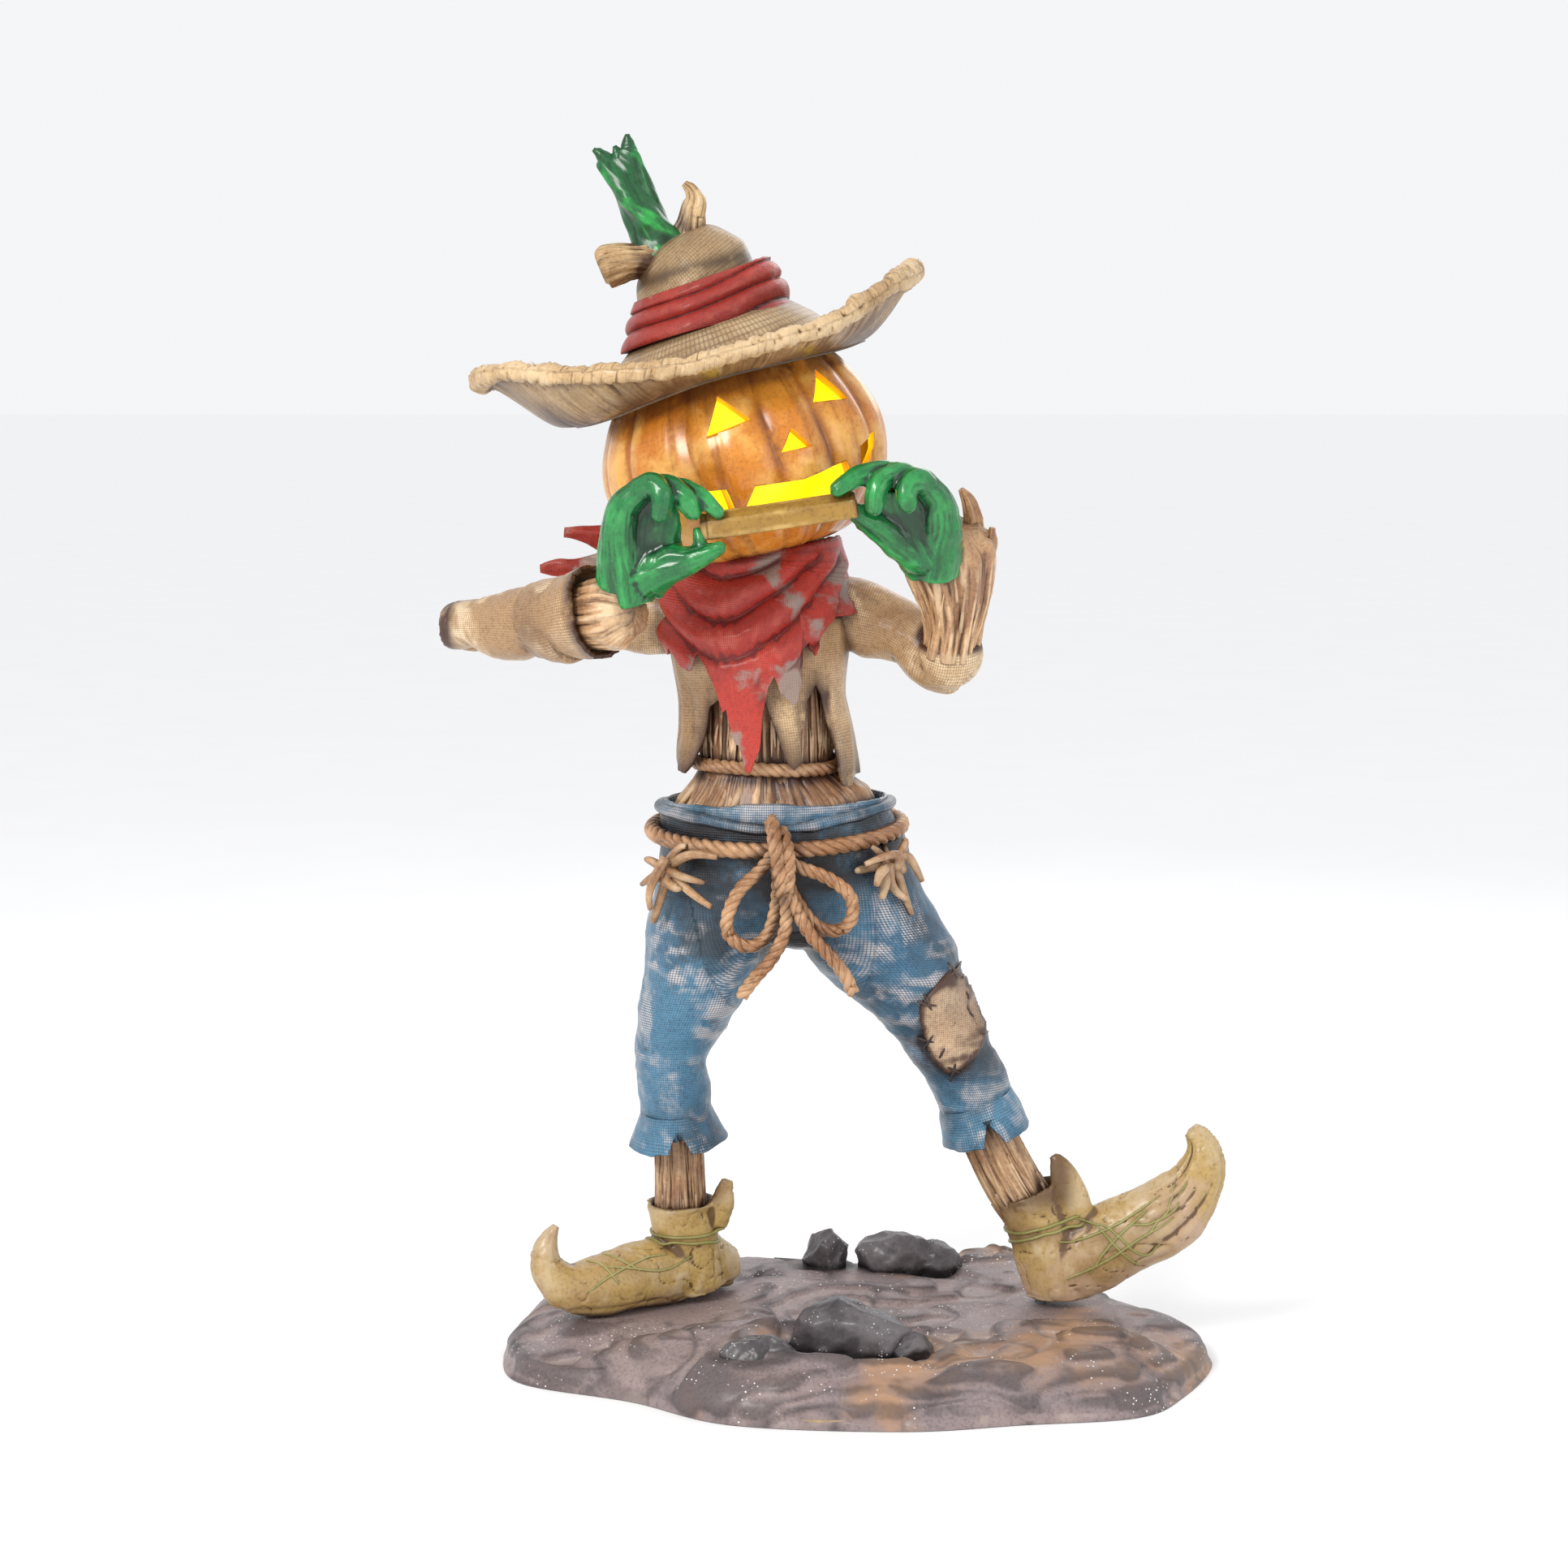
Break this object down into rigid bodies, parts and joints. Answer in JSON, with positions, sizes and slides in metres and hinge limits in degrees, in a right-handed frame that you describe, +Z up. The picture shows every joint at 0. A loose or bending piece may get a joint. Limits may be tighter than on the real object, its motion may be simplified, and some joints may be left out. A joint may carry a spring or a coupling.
{
  "type": "lit scarecrow figure",
  "caption": "Life-size moulded scarecrow with a lit pumpkin head and a straw hat, striding on a rock base and playing a mouth organ; the hat lifts off to reach the lamp.",
  "frame": {"origin": "on the underside of the base, under the middle of its width", "axes": "+Z up; the figure faces -Y, so its right hand is on the -X side"},
  "size_m": [1.0915, 0.7225, 1.7008],
  "materials": {
    "ground": "moulded rock texture, mauve-brown with dark cracks, semi-gloss varnish",
    "stone": "dark painted rock, semi-gloss varnish",
    "board": "raw birch plywood",
    "frame_steel": "grey primer",
    "bolt_steel": "zinc plated",
    "black_plastic": "fine matt",
    "rocker": "gloss red",
    "wire": "matt black sheath",
    "holder": "unglazed porcelain",
    "lamp_cap": "threaded",
    "lamp_glass": "frosted",
    "straw": "straw strands moulded in relief, brown in the grooves, gloss varnish",
    "hat_straw": "straw strands moulded in relief, gloss varnish",
    "shoe": "ochre, brown in the seams, gloss varnish",
    "denim": "woven texture, washed blue with pale worn streaks, gloss varnish",
    "patch": "coarse weave, gloss varnish",
    "stitch": "dark brown",
    "rope": "twisted strands moulded in relief, gloss varnish",
    "burlap": "coarse sacking weave, gloss varnish",
    "neckerchief": "fine weave, brick red with worn grey-brown patches, gloss varnish",
    "hand": "gloss green, darker in the creases",
    "mouth_organ": "gold-brown, gloss varnish",
    "pumpkin": "orange with brown grooves, gloss varnish",
    "light_liner": "translucent yellow diffuser, lit from behind",
    "hat": "coarse sacking weave with a frayed straw edge, gloss varnish",
    "hat_band": "ribbed, brick red with grey worn streaks",
    "stem": "gloss green with dark grooves"
  },
  "bodies": {
    "figure": {"base_board": "board", "base_shell": "ground", "front_stones": "stone", "rear_stones": "stone", "foot_bar": "frame_steel", "foot_bolts": "bolt_steel", "hip_plate": "frame_steel", "left_leg_bar": "frame_steel", "right_leg_bar": "frame_steel", "left_arm_bar": "frame_steel", "right_arm_bar": "frame_steel", "spine_bar": "frame_steel", "head_plate": "frame_steel", "head_screws": "bolt_steel", "inlet_tray": "black_plastic", "cable_gland": "black_plastic", "switch_frame": "black_plastic", "lamp_wire": "wire", "lamp_holder": "holder", "right_shank": "straw", "left_shank": "straw", "straw_torso": "straw", "right_forearm": "straw", "left_forearm": "straw", "right_pocket_straw": "straw", "left_pocket_straw": "straw", "right_shoe": "shoe", "left_shoe": "shoe", "trouser_hips": "denim", "trouser_right_leg": "denim", "trouser_left_leg": "denim", "knee_patch": "patch", "patch_stitches": "stitch", "belt_rope": "rope", "belt_knot": "rope", "right_bow_loop": "rope", "left_bow_loop": "rope", "right_bow_tail": "rope", "left_bow_tail": "rope", "waist_rope": "rope", "shirt": "burlap", "right_upper_sleeve": "burlap", "right_lower_sleeve": "burlap", "left_sleeve": "burlap", "neckerchief": "neckerchief", "scarf_tails": "neckerchief", "right_hand": "hand", "left_hand": "hand", "harmonica": "mouth_organ", "pumpkin_head": "pumpkin", "light_liner": "light_liner"},
    "hat": {"hat": "hat", "hat_band": "hat_band", "hat_stem": "stem", "hat_tuft": "hat_straw", "lid_ring": "black_plastic"},
    "lamp": {"lamp_cap": "lamp_cap", "lamp_globe": "lamp_glass"},
    "rocker": {"switch_rocker": "rocker"}
  },
  "joints": [
    {"name": "hat_lift", "type": "slide", "parent": "figure", "child": "hat", "axis": [-0.2588, 0, 0.9659], "range_m": [0, 0.25]},
    {"name": "lamp_pull", "type": "slide", "parent": "figure", "child": "lamp", "axis": [-0.2588, 0, 0.9659], "range_m": [0, 0.04]},
    {"name": "rocker_tilt", "type": "hinge", "parent": "figure", "child": "rocker", "pos_m": [-0.034, 0.313, 0.028], "axis": [0, 0, 1], "range_deg": [-16, 0]}
  ]
}
